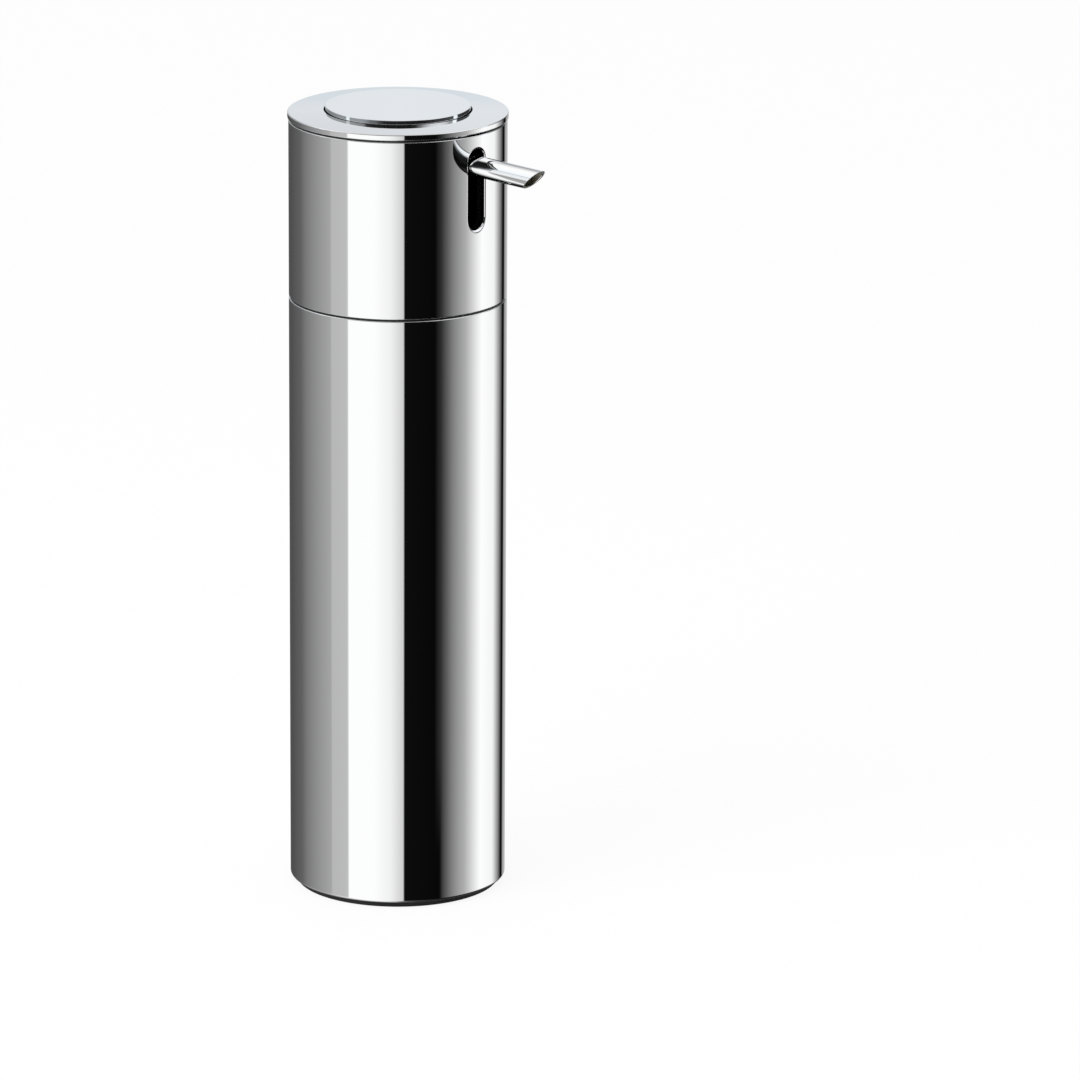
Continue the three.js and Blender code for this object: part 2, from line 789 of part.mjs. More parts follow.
function spoutRing() {
  const centreRadius = spoutRadius + bossRingGap + bossRingSection / 2;
  const geometry = rubberRing(centreRadius, bossRingSection, slimSides)
    .rotateX(Math.PI / 2)
    .translate(0, bodyRadius - bossReach + bossRingDepth / 2, 0);
  return piece("spout_ring", alongSpout(geometry), blackRubber);
}

// What stands on the surface
const base = new THREE.Group();
base.add(footPad(), basePlate(), bodyTube(), liner());

// What lifts off with the head
const head = new THREE.Group();
head.add(pumpDeck(), headTube(), guideSleeve(), topRing());
head.add(pumpHousing(), gasket(), stemGuide(), clampNut(), ballCage(), dipTube(), pumpSpring());

// What goes down with the button
const plunger = new THREE.Group();
plunger.add(button(), actuator(), spout(), spoutRing(), stem(), pistonSeal());

const dispenser = new THREE.Group();
dispenser.add(base, skirtRing(), head, plunger);
dispenser.add(ball("inlet_ball", inletBallRadius, inletBallHeight));
dispenser.add(ball("outlet_ball", outletBallRadius, outletBallHeight));

export default dispenser;
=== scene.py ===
import json
import math

import bpy
from mathutils import Matrix, Vector

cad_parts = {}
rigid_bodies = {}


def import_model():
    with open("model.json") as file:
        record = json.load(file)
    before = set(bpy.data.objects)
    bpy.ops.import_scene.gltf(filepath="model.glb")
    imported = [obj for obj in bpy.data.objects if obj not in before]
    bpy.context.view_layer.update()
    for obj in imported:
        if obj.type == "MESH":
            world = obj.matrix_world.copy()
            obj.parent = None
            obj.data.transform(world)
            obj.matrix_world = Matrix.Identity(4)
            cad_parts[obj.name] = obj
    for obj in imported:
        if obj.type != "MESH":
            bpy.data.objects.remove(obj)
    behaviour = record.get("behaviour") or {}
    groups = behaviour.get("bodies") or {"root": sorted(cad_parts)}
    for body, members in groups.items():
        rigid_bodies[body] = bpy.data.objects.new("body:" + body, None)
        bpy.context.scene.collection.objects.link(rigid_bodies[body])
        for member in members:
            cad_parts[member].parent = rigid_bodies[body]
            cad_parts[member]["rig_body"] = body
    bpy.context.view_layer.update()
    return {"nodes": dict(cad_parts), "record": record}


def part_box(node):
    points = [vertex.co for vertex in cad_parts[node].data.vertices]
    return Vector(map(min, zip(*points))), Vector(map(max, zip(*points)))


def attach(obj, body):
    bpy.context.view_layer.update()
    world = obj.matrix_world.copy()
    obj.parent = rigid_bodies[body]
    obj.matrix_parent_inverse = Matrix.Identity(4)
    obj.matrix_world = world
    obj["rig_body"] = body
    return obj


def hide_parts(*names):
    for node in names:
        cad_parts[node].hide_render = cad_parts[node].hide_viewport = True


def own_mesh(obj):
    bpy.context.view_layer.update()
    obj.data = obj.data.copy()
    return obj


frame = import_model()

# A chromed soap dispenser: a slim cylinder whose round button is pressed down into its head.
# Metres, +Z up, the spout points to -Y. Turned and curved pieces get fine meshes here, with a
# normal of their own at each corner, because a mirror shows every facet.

nodes = frame["nodes"]
MM = 0.001

# Sizes that the frame's boxes do not give
FIT_GAP = 0.3 * MM
BODY_WALL = 1.2 * MM
HEAD_WALL = 1.4 * MM
BODY_BOTTOM_EDGE = 0.6 * MM
TUBE_EDGE = 0.2 * MM
SLEEVE_WALL = 1.5 * MM
RING_FLANGE = 1.45 * MM
RING_RISE = 0.4 * MM  # of the ring's face, from its outer edge to the button
RING_EDGE = 0.25 * MM
RING_BORE_EDGE = 0.05 * MM
BUTTON_WALL = 1.2 * MM
BUTTON_TOP = 1.6 * MM
BUTTON_EDGE = 0.12 * MM
FOOT_EDGE = 0.4 * MM
SLIDE_GAP = 0.35 * MM
SLOT_WIDTH = 5.6 * MM
SLOT_BOTTOM = 165.5 * MM
SLOT_TOP = 184.9 * MM
SLOT_SIDE_LIP = 0.42 * MM  # rounding of the slot's outer edge
SLOT_LOWER_LIP = 0.95 * MM
SLOT_UPPER_LIP = 0.6 * MM
SLOT_PATCH = 6 * MM  # half the width of the wall's part that is meshed round the slot
SPOUT_RADIUS = 2.5 * MM
SPOUT_WALL = 0.5 * MM
SPOUT_HEIGHT = 180.8 * MM
SPOUT_TILT = math.radians(0.8)
SPOUT_REACH_TOP = 20.8 * MM
SPOUT_REACH_BOTTOM = 15.8 * MM
SPOUT_INNER_END = 9 * MM
SPOUT_RIM = 0.1 * MM
SPOUT_BORE_RIM = 0.32 * MM
LINER_WALL = 1 * MM
LINER_FLOOR = 1.2 * MM
LINER_CORNER = 4 * MM
LINER_RIM_THICKNESS = 0.45 * MM
LINER_RIM_RECESS = 0.35 * MM
LINER_MOUTH = 0.4 * MM  # chamfer inside the liner's rim
PLASTIC_EDGE = 0.15 * MM
DIP_TUBE_WALL = 0.8 * MM
SPRING_WIRE = 1 * MM
SPRING_RADIUS = 6.1 * MM  # to the middle of the wire
SPRING_ACTIVE_TURNS = 4
SPRING_END_TURNS = 1  # closed turns at each end
SPRING_END_GAP = 0.5 * MM

# How fine the meshes are
TURN_STEPS = 256
ARC_STEPS = 6
SLOT_ARC_STEPS = 32
SLOT_ROWS = 24
SLOT_RINGS = 6
SLOT_CROWDING = 1.6  # above 1, the outer rings are closer together near the slot
SPOUT_STEPS = 96
SPRING_STEPS = 40
WIRE_STEPS = 12
SHARP_ANGLE = math.radians(38)  # edges of the CAD meshes that stay sharp
WELD_DISTANCE = 0.001 * MM
WELD_DIGITS = 8  # corners whose metres agree to so many digits share a vertex
ON_AXIS = 1e-9

# Camera, from the photograph: its place round the object and its framing
CAMERA_AZIMUTH = math.radians(-45.8)
CAMERA_DISTANCE = 1.8749
CAMERA_HEIGHT = 0.6121
CAMERA_PITCH = math.radians(15.710)
CAMERA_YAW = math.radians(1.042)
CAMERA_ROLL = math.radians(0.3075)
CAMERA_LENS = 270.58
CAMERA_SENSOR = 36
CAMERA_FAR = 50
TO_CAMERA = Vector((math.sin(CAMERA_AZIMUTH), -math.cos(CAMERA_AZIMUTH), 0))
TO_RIGHT = Vector((math.cos(CAMERA_AZIMUTH), math.sin(CAMERA_AZIMUTH), 0))
UP = Vector((0, 0, 1))


# Meshes

class Skin:
    """Faces with a normal of their own at each corner. Corners at the same place share a vertex."""

    def __init__(self):
        self.places = {}
        self.points = []
        self.faces = []
        self.normals = []
        self.finish = 0
        self.finishes = []

    def face(self, *corners):
        ring = []
        for point, normal in corners:
            place = tuple(round(c, WELD_DIGITS) for c in point)
            if place not in self.places:
                self.places[place] = len(self.points)
                self.points.append(tuple(point))
            if self.places[place] not in [index for index, _ in ring]:
                ring.append((self.places[place], normal))
        if len(ring) > 2:
            self.faces.append([index for index, _ in ring])
            self.normals.extend(tuple(normal) for _, normal in ring)
            self.finishes.append(self.finish)

    def rings(self, sequence):
        """Joins rings of corners.

        Seen from outside, each ring goes round anticlockwise inside the next.
        """
        for inner, outer in zip(sequence, sequence[1:]):
            count = len(inner)
            for k in range(count):
                n = (k + 1) % count
                self.face(inner[k], outer[k], outer[n], inner[n])

    def build(self, name, node, slot, second=None):
        """Makes the piece that replaces a node. The second material is for faces of finish 1."""
        mesh = bpy.data.meshes.new(name)
        mesh.from_pydata(self.points, [], self.faces)
        mesh.polygons.foreach_set("use_smooth", [True] * len(mesh.polygons))
        mesh.normals_split_custom_set(self.normals)
        mesh.materials.append(LOOKS[slot])
        if second:
            mesh.materials.append(second)
            mesh.polygons.foreach_set("material_index", self.finishes)
        piece = bpy.data.objects.new(name, mesh)
        bpy.context.scene.collection.objects.link(piece)
        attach(piece, nodes[node]["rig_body"])
        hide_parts(node)
        return piece


def outline(corners):
    """The steps round an outline as (point, point, normal, normal).

    Its corners are (radius, height) or (radius, height, fillet) and run anticlockwise, seen with
    the axis at the left.
    """
    arcs = []
    for i, (r, z, *rest) in enumerate(corners):
        corner = Vector((r, z))
        fillet = rest[0] if rest else 0
        if not fillet:
            arcs.append([(corner, None)])
            continue
        before = (Vector(corners[i - 1][:2]) - corner).normalized()
        after = (Vector(corners[(i + 1) % len(corners)][:2]) - corner).normalized()
        half = before.angle(after) / 2
        middle = corner + (before + after).normalized() * (fillet / math.sin(half))
        arm = corner + before * (fillet / math.tan(half)) - middle
        side = 1 if before.x * after.y - before.y * after.x < 0 else -1
        arc = []
        for step in range(ARC_STEPS + 1):
            turned = arm.copy()
            turned.rotate(Matrix.Rotation(side * (math.pi - 2 * half) * step / ARC_STEPS, 2))
            arc.append((middle + turned, turned.normalized() * side))
        arcs.append(arc)
    steps = []
    for arc, following in zip(arcs, arcs[1:] + arcs[:1]):
        steps += [(a, b, na, nb) for (a, na), (b, nb) in zip(arc, arc[1:])]
        start, end = arc[-1][0], following[0][0]
        along = (end - start).normalized()
        normal = Vector((along.y, -along.x))
        steps.append((start, end, normal, normal))
    return [s for s in steps if max(s[0].x, s[1].x) > ON_AXIS]


def round_axis(radius, height, angle):
    """A point or a normal at that angle round the axis, counted from -Y towards +X."""
    return Vector((radius * math.sin(angle), -radius * math.cos(angle), height))


def swept(skin, steps, angles, closed=True):
    """Turns the steps of an outline about the axis through the angles."""
    pairs = list(zip(angles, angles[1:] + angles[:1])) if closed else list(zip(angles, angles[1:]))
    for start, end, start_normal, end_normal in steps:
        for a, b in pairs:
            skin.face(
                (round_axis(*start, a), round_axis(*start_normal, a)),
                (round_axis(*start, b), round_axis(*start_normal, b)),
                (round_axis(*end, b), round_axis(*end_normal, b)),
                (round_axis(*end, a), round_axis(*end_normal, a)),
            )
    return skin


def turned(name, node, slot, corners):
    """A piece that is round about the axis."""
    angles = [2 * math.pi * k / TURN_STEPS for k in range(TURN_STEPS)]
    swept(Skin(), outline(corners), angles).build(name, node, slot)


# Materials

# How fine their noises are, in features per metre
CHROME_SHEEN = 70
METAL_TINT = 1500
METAL_SHEEN = 3000
MOULDED_TINT = 90
MOULDED_SHEEN = 400
MOULDED_GRAIN = 9000

CHROME_TINT = (0.98, 0.982, 0.985)
CHROME_ROUGHNESS = (0.012, 0.03)
MILKINESS = 0.35  # how much of the natural plastic's light is scattered inside it
MILK_DEPTH = 1.5 * MM


def material(name):
    made = bpy.data.materials.new(name)
    made.use_nodes = True
    return made, made.node_tree, made.node_tree.nodes["Principled BSDF"]


def noise(tree, scale):
    """A noise that is fixed to the object, with its scale in features per metre."""
    where = tree.nodes.new("ShaderNodeTexCoord")
    made = tree.nodes.new("ShaderNodeTexNoise")
    made.inputs["Scale"].default_value = scale
    tree.links.new(where.outputs["Object"], made.inputs["Vector"])
    return made


def spread(tree, source, low, high, socket):
    """Spreads a noise over a range of values and puts it into a socket."""
    made = tree.nodes.new("ShaderNodeMapRange")
    made.inputs["To Min"].default_value = low
    made.inputs["To Max"].default_value = high
    tree.links.new(source.outputs["Fac"], made.inputs["Value"])
    tree.links.new(made.outputs["Result"], socket)


def tint(tree, source, low, high, socket):
    """Blends two colours by a noise and puts them into a socket."""
    made = tree.nodes.new("ShaderNodeValToRGB")
    made.color_ramp.elements[0].color = (*low, 1)
    made.color_ramp.elements[1].color = (*high, 1)
    tree.links.new(source.outputs["Fac"], made.inputs["Fac"])
    tree.links.new(made.outputs["Color"], socket)


def bump(tree, source, shader, distance):
    """Raises and lowers the surface by a noise."""
    made = tree.nodes.new("ShaderNodeBump")
    made.inputs["Distance"].default_value = distance
    tree.links.new(source.outputs["Fac"], made.inputs["Height"])
    tree.links.new(made.outputs["Normal"], shader.inputs["Normal"])


def chrome_plate():
    made, tree, shader = material("chrome_plate")
    shader.inputs["Base Color"].default_value = (*CHROME_TINT, 1)
    shader.inputs["Metallic"].default_value = 1
    spread(tree, noise(tree, CHROME_SHEEN), *CHROME_ROUGHNESS, shader.inputs["Roughness"])
    return made


def moulded(name, low, high, rough, grain):
    made, tree, shader = material(name)
    tint(tree, noise(tree, MOULDED_TINT), low, high, shader.inputs["Base Color"])
    spread(tree, noise(tree, MOULDED_SHEEN), *rough, shader.inputs["Roughness"])
    bump(tree, noise(tree, MOULDED_GRAIN), shader, grain)
    return made


def natural_moulding():
    made = moulded(
        "natural_moulding",
        low=(0.6, 0.61, 0.59), high=(0.68, 0.69, 0.67), rough=(0.28, 0.4), grain=0.004 * MM,
    )
    shader = made.node_tree.nodes["Principled BSDF"]
    shader.inputs["Subsurface Weight"].default_value = MILKINESS
    shader.inputs["Subsurface Radius"].default_value = (1, 1, 1)
    shader.inputs["Subsurface Scale"].default_value = MILK_DEPTH
    return made


def bare_metal(name, low, high, rough):
    made, tree, shader = material(name)
    shader.inputs["Metallic"].default_value = 1
    tint(tree, noise(tree, METAL_TINT), low, high, shader.inputs["Base Color"])
    spread(tree, noise(tree, METAL_SHEEN), *rough, shader.inputs["Roughness"])
    return made


chrome = chrome_plate()
black_plastic = moulded(
    "black_moulding",
    low=(0.006, 0.006, 0.0065), high=(0.011, 0.011, 0.012), rough=(0.3, 0.45), grain=0.006 * MM,
)
black_rubber = moulded(
    "black_rubber",
    low=(0.012, 0.012, 0.012), high=(0.022, 0.022, 0.022), rough=(0.6, 0.8), grain=0.02 * MM,
)
natural_plastic = natural_moulding()
steel = bare_metal(
    "drawn_steel", low=(0.5, 0.51, 0.52), high=(0.66, 0.67, 0.68), rough=(0.18, 0.32)
)
unplated = bare_metal(
    "unplated_bore", low=(0.5, 0.47, 0.38), high=(0.62, 0.58, 0.48), rough=(0.55, 0.7)
)

LOOKS = {
    "chrome": chrome,
    "black_plastic": black_plastic,
    "black_rubber": black_rubber,
    "natural_plastic": natural_plastic,
    "steel": steel,
}


# Chromed pieces

def body_tube():
    low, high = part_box("body_tube")
    inner = high.x - BODY_WALL
    turned("body_shell", "body_tube", "chrome", [
        (inner, low.z),
        (high.x, low.z, BODY_BOTTOM_EDGE),
        (high.x, high.z, TUBE_EDGE),
        (inner, high.z, TUBE_EDGE),
    ])


def top_ring():
    low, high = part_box("top_ring")
    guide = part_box("push_button")[1].x + SLIDE_GAP
    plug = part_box("head_tube")[1].x - HEAD_WALL - SLEEVE_WALL - 2 * FIT_GAP
    edge = high.z - RING_RISE
    turned("ring_cap", "top_ring", "chrome", [
        (guide, low.z),
        (plug, low.z),
        (plug, edge - RING_FLANGE),
        (high.x, edge - RING_FLANGE, RING_EDGE),
        (high.x, edge, RING_EDGE),
        (guide, high.z, RING_BORE_EDGE),
    ])


def push_button():
    low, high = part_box("push_button")
    inner = high.x - BUTTON_WALL
    turned("button_cap", "push_button", "chrome", [
        (0, high.z - BUTTON_TOP),
        (inner, high.z - BUTTON_TOP),
        (inner, low.z),
        (high.x, low.z),
        (high.x, high.z, BUTTON_EDGE),
        (0, high.z),
    ])


def slot_outline():
    """(x, z, nx, nz) round the slot, anticlockwise from outside, the normals away from the hole."""
    half = SLOT_WIDTH / 2
    points = []
    for middle, start in ((SLOT_BOTTOM + half, math.pi), (SLOT_TOP - half, 0)):
        for k in range(SLOT_ARC_STEPS + 1):
            angle = start + math.pi * k / SLOT_ARC_STEPS
            across, up = math.cos(angle), math.sin(angle)
            points.append((half * across, middle + half * up, across, up))
        side = 1 if start else -1
        low, high = SLOT_BOTTOM + half, SLOT_TOP - half
        for k in range(1, SLOT_ROWS):
            share = k / SLOT_ROWS if start else 1 - k / SLOT_ROWS
            points.append((side * half, low + share * (high - low), side, 0))
    return points


def slot_lip(upward):
    """How far the lip's rounding reaches where the slot's outline faces that much upwards."""
    end = SLOT_UPPER_LIP if upward > 0 else SLOT_LOWER_LIP
    return SLOT_SIDE_LIP + (end - SLOT_SIDE_LIP) * upward * upward


def patch_outline(radius, low, high, columns):
    """The points on the edge of the wall's patch that belong to the points round the slot."""
    rows = [low + (high - low) * k / SLOT_ROWS for k in range(SLOT_ROWS + 1)]
    points = [(radius * math.sin(t), low) for t in columns]
    points += [(radius * math.sin(columns[-1]), z) for z in rows[1:-1]]
    points += [(radius * math.sin(t), high) for t in reversed(columns)]
    points += [(radius * math.sin(columns[0]), z) for z in reversed(rows[1:-1])]
    return points


def on_wall(radius, x, z, outward):
    """A corner on the front of the cylinder of that radius."""
    y = -math.sqrt(radius * radius - x * x)
    return Vector((x, y, z)), Vector((x, y, 0)).normalized() * outward


def head_tube():
    low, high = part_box("head_tube")
    outer, inner = high.x, high.x - HEAD_WALL
    bottom, top = low.z + TUBE_EDGE, high.z - TUBE_EDGE
    skin = Skin()

    edge = math.asin(SLOT_PATCH / outer)
    columns = [edge * (2 * k / SLOT_ARC_STEPS - 1) for k in range(SLOT_ARC_STEPS + 1)]
    rest_count = round(TURN_STEPS * (1 - edge / math.pi))
    rest = [edge + (2 * math.pi - 2 * edge) * k / rest_count for k in range(rest_count + 1)]

    # The ends of the tube, with their small fillets
    ends = outline([
        (inner, low.z, TUBE_EDGE),
        (outer, low.z, TUBE_EDGE),
        (outer, high.z, TUBE_EDGE),
        (inner, high.z, TUBE_EDGE),
    ])
    walls = [s for s in ends if abs(s[0].y - s[1].y) > (top - bottom) / 2]
    ends = [s for s in ends if s not in walls]
    swept(skin, ends, columns[:-1] + rest[:-1])

    # The wall away from the slot
    rows = [bottom + (top - bottom) * k / SLOT_ROWS for k in range(SLOT_ROWS + 1)]
    out, back = Vector((1, 0)), Vector((-1, 0))
    for a, b in zip(rows, rows[1:]):
        swept(skin, [(Vector((outer, a)), Vector((outer, b)), out, out)], rest, closed=False)
        swept(skin, [(Vector((inner, b)), Vector((inner, a)), back, back)], rest, closed=False)

    # The wall round the slot, from inside, through the slot and over its lip to the outside
    hole = slot_outline()
    inside = patch_outline(inner, bottom, top, columns)
    outside = patch_outline(outer, bottom, top, columns)
    rings = []
    for k in range(SLOT_RINGS + 1):
        share = 1 - k / SLOT_RINGS
        rings.append([
            on_wall(inner, x + (px - x) * share, z + (pz - z) * share, -1)
            for (x, z, _, _), (px, pz) in zip(hole, inside)
        ])
    rings.append([
        (on_wall(inner, x, z, 1)[0], Vector((-nx, 0, -nz))) for x, z, nx, nz in hole
    ])
    lip = []
    for k in range(ARC_STEPS + 1):
        angle = math.pi / 2 * k / ARC_STEPS
        ring = []
        for x, z, nx, nz in hole:
            away, depth = slot_lip(nz) * (1 - math.cos(angle)), slot_lip(nz) * (1 - math.sin(angle))
            point, radial = on_wall(outer - depth, x + nx * away, z + nz * away, 1)
            ring.append((point, radial * math.sin(angle) - Vector((nx, 0, nz)) * math.cos(angle)))
        lip.append(ring)
    rings += lip
    for k in range(1, SLOT_RINGS + 1):
        share = (k / SLOT_RINGS) ** SLOT_CROWDING
        ring = []
        for (x, z, nx, nz), (px, pz) in zip(hole, outside):
            x, z = x + nx * slot_lip(nz), z + nz * slot_lip(nz)
            ring.append(on_wall(outer, x + (px - x) * share, z + (pz - z) * share, 1))
        rings.append(ring)
    skin.rings(rings)
    skin.build("head_shell", "head_tube", "chrome")


def oblique_tube(name, node, slot, inside, place, sizes, reach):
    """A round tube from a start to an oblique tip.

    Its place is an origin, the way it points and its upward side. Its sizes are its radius, its
    wall and the roundings of its edges outside and inside. Its reach is the start, the tip and the
    tip's slope: the end lies at tip plus slope times the height above the axis. The bore gets the
    material inside.
    """
    origin, along, up = place
    radius, wall, rim, bore_rim = sizes
    start, tip, slope = reach
    across = along.cross(up)
    bore = radius - wall
    plane = (along - up * slope).normalized()

    def ring(size, at, normal):
        corners = []
        for k in range(SPOUT_STEPS):
            angle = 2 * math.pi * k / SPOUT_STEPS
            radial = up * math.cos(angle) + across * math.sin(angle)
            middle = origin + along * at(size * math.cos(angle))
            corners.append((middle + radial * size, normal(radial)))
        return corners

    def at_start(height):
        return start

    def at_tip(height):
        return tip + slope * height

    rings = [
        ring(bore, at_start, lambda n: -along),
        ring(radius, at_start, lambda n: -along),
        ring(radius, at_start, lambda n: n),
    ]
    for k in range(ARC_STEPS + 1):
        angle = math.pi / 2 * k / ARC_STEPS
        drop = rim * (1 - math.sin(angle))
        rings.append(ring(
            radius - rim * (1 - math.cos(angle)),
            lambda height: at_tip(height) - drop,
            lambda n: (n * math.cos(angle) + plane * math.sin(angle)).normalized(),
        ))
    for k in range(ARC_STEPS + 1):
        angle = math.pi / 2 * (1 - k / ARC_STEPS)
        drop = bore_rim * (1 - math.sin(angle))
        rings.append(ring(
            bore + bore_rim * (1 - math.cos(angle)),
            lambda height: at_tip(height) - drop,
            lambda n: (plane * math.sin(angle) - n * math.cos(angle)).normalized(),
        ))
    rings.append(ring(bore, at_start, lambda n: -n))
    rings = [list(reversed(r)) for r in rings]
    skin = Skin()
    skin.rings(rings[:-1])
    skin.finish = 1
    skin.rings(rings[-2:])
    skin.build(name, node, slot, inside)


def spout():
    wall = Vector((0, -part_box("head_tube")[1].x, SPOUT_HEIGHT))
    along = Vector((0, -math.cos(SPOUT_TILT), -math.sin(SPOUT_TILT)))
    up = Vector((0, -math.sin(SPOUT_TILT), math.cos(SPOUT_TILT)))
    start = SPOUT_INNER_END + wall.y
    tip = (SPOUT_REACH_TOP + SPOUT_REACH_BOTTOM) / 2
    slope = (SPOUT_REACH_TOP - SPOUT_REACH_BOTTOM) / (2 * SPOUT_RADIUS)
    sizes = (SPOUT_RADIUS, SPOUT_WALL, SPOUT_RIM, SPOUT_BORE_RIM)
    reach = (start, tip, slope)
    oblique_tube("spout_tube", "spout", "chrome", unplated, (wall, along, up), sizes, reach)


# Dark and inner pieces

def foot_pad():
    low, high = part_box("foot_pad")
    turned("foot_disc", "foot_pad", "black_rubber", [
        (0, low.z),
        (high.x, low.z, FOOT_EDGE),
        (high.x, high.z, FOOT_EDGE / 2),
        (0, high.z),
    ])


def liner():
    low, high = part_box("liner")
    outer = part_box("body_tube")[1].x - BODY_WALL - FIT_GAP
    inner = outer - LINER_WALL
    seam = high.z - LINER_RIM_THICKNESS
    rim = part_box("body_tube")[1].x - LINER_RIM_RECESS
    turned("liner_cup", "liner", "black_plastic", [
        (0, low.z),
        (outer, low.z, LINER_CORNER),
        (outer, seam),
        (rim, seam),
        (rim, high.z, PLASTIC_EDGE),
        (inner + LINER_MOUTH, high.z),
        (inner, high.z - LINER_MOUTH),
        (inner, low.z + LINER_FLOOR, LINER_CORNER - LINER_WALL),
        (0, low.z + LINER_FLOOR),
    ])


def dip_tube():
    low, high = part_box("dip_tube")
    radius = high.x
    middle = Vector((0, 0, (low.z + high.z) / 2))
    oblique_tube(
        "suction_tube", "dip_tube", "natural_plastic", natural_plastic,
        place=(middle, Vector((0, 0, -1)), Vector((0, -1, 0))),
        sizes=(radius, DIP_TUBE_WALL, PLASTIC_EDGE, PLASTIC_EDGE),
        reach=(middle.z - high.z, middle.z - low.z - radius, 1),
    )


def pump_spring():
    """The coil, with a closed turn at each end."""
    low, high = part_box("pump_spring")
    bottom, top = low.z + SPRING_WIRE / 2, high.z - SPRING_WIRE / 2
    closed_rise = SPRING_END_TURNS * (SPRING_WIRE + SPRING_END_GAP)
    open_rise = top - bottom - 2 * closed_rise
    turns = SPRING_ACTIVE_TURNS + 2 * SPRING_END_TURNS

    def middle(turn):
        first = min(turn, SPRING_END_TURNS) / SPRING_END_TURNS
        opened = min(max((turn - SPRING_END_TURNS) / SPRING_ACTIVE_TURNS, 0), 1)
        last = max(turn - SPRING_END_TURNS - SPRING_ACTIVE_TURNS, 0) / SPRING_END_TURNS
        angle = 2 * math.pi * turn
        height = bottom + (first + last) * closed_rise + opened * open_rise
        return Vector((SPRING_RADIUS * math.cos(angle), SPRING_RADIUS * math.sin(angle), height))

    rings = []
    for k in range(turns * SPRING_STEPS + 1):
        place = middle(k / SPRING_STEPS)
        outward = Vector((place.x, place.y, 0)).normalized()
        ring = []
        for n in range(WIRE_STEPS):
            angle = 2 * math.pi * n / WIRE_STEPS
            normal = outward * math.cos(angle) + UP * math.sin(angle)
            ring.append((place + normal * SPRING_WIRE / 2, normal))
        rings.append(ring)
    skin = Skin()
    skin.rings(rings)
    for ring, ahead in ((rings[0], -1), (list(reversed(rings[-1])), 1)):
        place = ring[0][0]
        along = Vector((-place.y, place.x, 0)).normalized() * ahead
        skin.face(*((point, along) for point, _ in ring))
    piece = skin.build("coil_spring", "pump_spring", "steel")
    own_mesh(piece)


body_tube()
head_tube()
top_ring()
push_button()
spout()
foot_pad()
liner()
dip_tube()
pump_spring()


# The CAD's own meshes

def smooth_turns():
    """A modifier's node group that shades a faceted mesh smooth, apart from its sharp edges."""
    group = bpy.data.node_groups.new("smooth_turns", "GeometryNodeTree")
    group.interface.new_socket("Geometry", in_out="INPUT", socket_type="NodeSocketGeometry")
    group.interface.new_socket("Geometry", in_out="OUTPUT", socket_type="NodeSocketGeometry")
    start, end = group.nodes.new("NodeGroupInput"), group.nodes.new("NodeGroupOutput")
    weld = group.nodes.new("GeometryNodeMergeByDistance")
    weld.inputs["Distance"].default_value = WELD_DISTANCE
    faces = group.nodes.new("GeometryNodeSetShadeSmooth")
    edges = group.nodes.new("GeometryNodeSetShadeSmooth")
    edges.domain = "EDGE"
    edges.inputs["Shade Smooth"].default_value = False
    angle = group.nodes.new("GeometryNodeInputMeshEdgeAngle")
    sharp = group.nodes.new("ShaderNodeMath")
    sharp.operation = "GREATER_THAN"
    sharp.inputs[1].default_value = SHARP_ANGLE
    link = group.links.new
    link(start.outputs[0], weld.inputs["Geometry"])
    link(weld.outputs["Geometry"], faces.inputs["Geometry"])
    link(faces.outputs["Geometry"], edges.inputs["Geometry"])
    link(angle.outputs["Unsigned Angle"], sharp.inputs[0])
    link(sharp.outputs[0], edges.inputs["Selection"])
    link(edges.outputs["Geometry"], end.inputs[0])
    return group


smoothing = smooth_turns()
slots = {row["node"]: row["material_slot"] for row in frame["record"]["subparts"]}
for name, node in nodes.items():
    if not node.hide_render:
        node.data.materials.clear()
        node.data.materials.append(LOOKS[slots[name]])
        node.modifiers.new("smooth_turns", "NODES").node_group = smoothing


# Studio

def linear(grey):
    """The light level that is displayed as that share of white, by the sRGB curve."""
    return ((grey + 0.055) / 1.055) ** 2.4 if grey > 0.04045 else grey / 12.92


# What the metal mirrors, as rings round the object from below to above, in place of the soft boxes,
# dark flags and backdrop of the photograph's studio. A ring has its elevation in degrees, its tint,
# and levels by azimuth, in degrees from the camera's side, positive to the right. Directions between
# two rings get a blend of both.
# Open fault: many of these levels are greys read from the photograph, in steps of 12 degrees of the
# direction that each place mirrors and along its rows and columns, and then corrected. The others
# are guesses. So these tables hold data sampled from the picture, which they should not: report.md
# has more.
NEUTRAL = (1, 1, 1)
COOL = (0.965, 0.983, 1)
SLATE = (0.94, 0.975, 1)

# Mirrored by the upright walls
WALL = (
    (-180, 0.33), (-152, 0.31), (-133, 0.36), (-125, 0.38), (-115, 0.47), (-76, 0.65), (-75, 0.72),
    (-55, 0.74), (-54, 1.00), (-25, 1.00), (-8, 0.95), (5.8, 0.81), (6.8, 0.05), (40, 0.03),
    (47, 0.19), (54, 0.37), (61, 0.51), (76, 0.68), (85, 0.82), (94, 0.94), (100, 1.00),
    (122, 0.96), (132, 0.68), (141, 0.36), (145, 0.05), (151, 0.05), (154, 0.60), (176, 0.84),
)

# Mirrored by the walls' lower end, where the dark flag is wider
NEAR_FOOT = sorted([row for row in WALL if not 6.8 < row[0] < 76] + [
    (45.5, 0.03), (47, 0.10), (49, 0.24), (54, 0.37), (59, 0.48), (71, 0.64),
])

# Just above what the walls mirror: lighter beside the spout
ABOVE_WALL = sorted([row for row in WALL if row[0] != -76] + [
    (-101, 0.55), (-96, 0.86), (-84, 0.86), (-79, 0.70),
])

